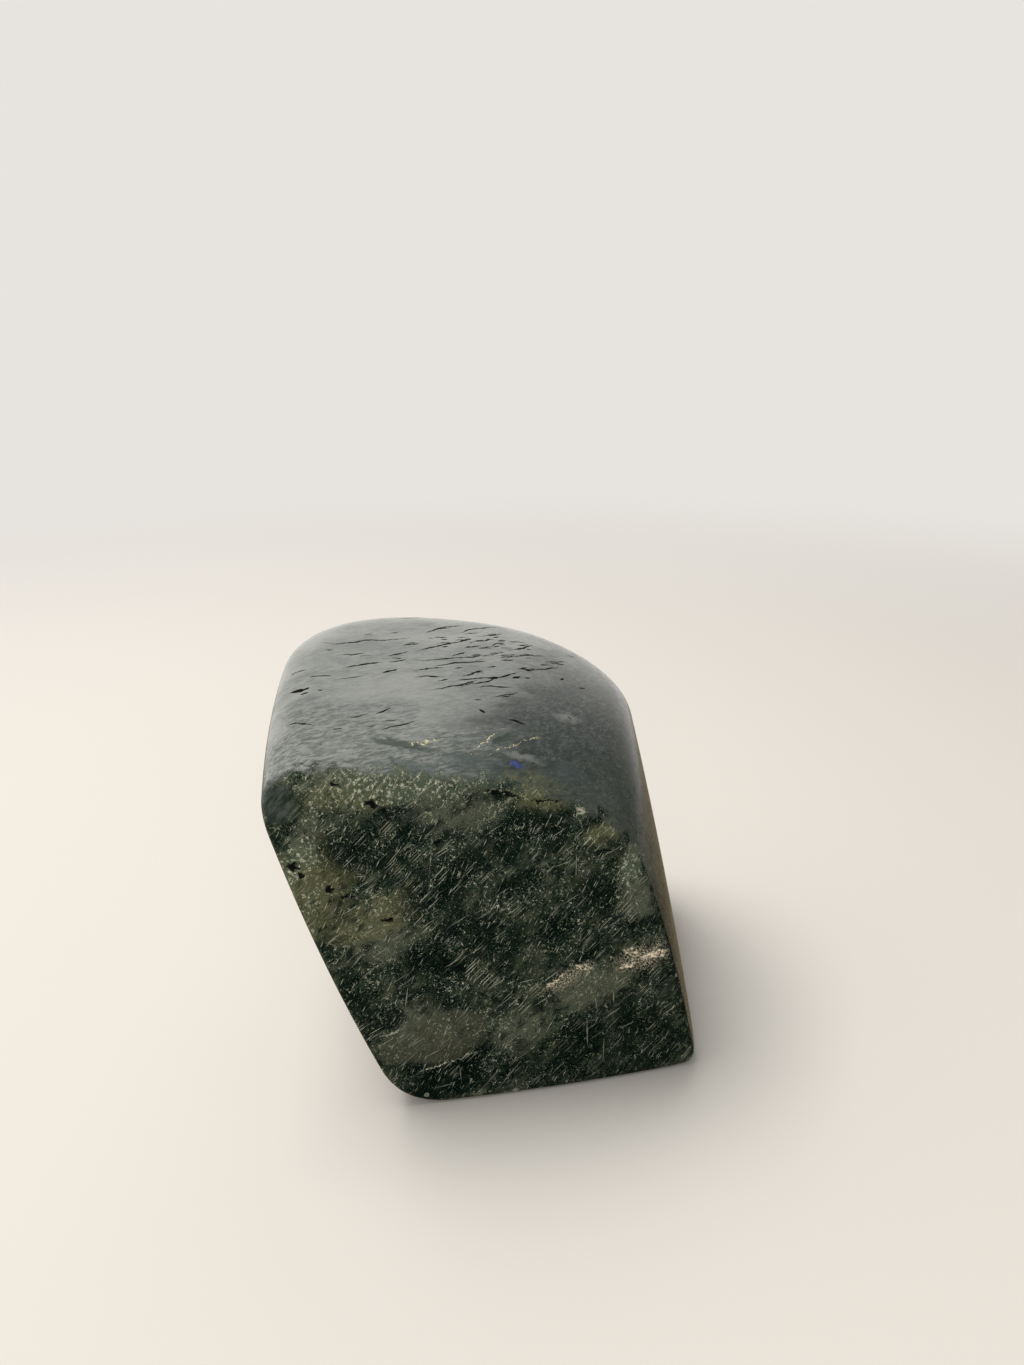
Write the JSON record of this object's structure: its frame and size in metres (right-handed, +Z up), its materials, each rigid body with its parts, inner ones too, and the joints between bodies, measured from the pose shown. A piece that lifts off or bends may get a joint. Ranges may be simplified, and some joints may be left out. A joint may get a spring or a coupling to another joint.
{
  "type": "labradorite freeform",
  "caption": "Polished block of dark labradorite standing on a sawn flat base, with a flat leaning front, a domed top and a broad rounded shoulder.",
  "frame": {"origin": "under the middle of the stone's bounding box, on the surface that it stands on", "axes": "+Z up, -Y towards the viewer and the flat dark front, +X to the right"},
  "size_m": [0.1263, 0.1246, 0.1134],
  "materials": {
    "labradorite": "polished"
  },
  "bodies": {
    "root": {"stone": "labradorite"}
  },
  "joints": []
}
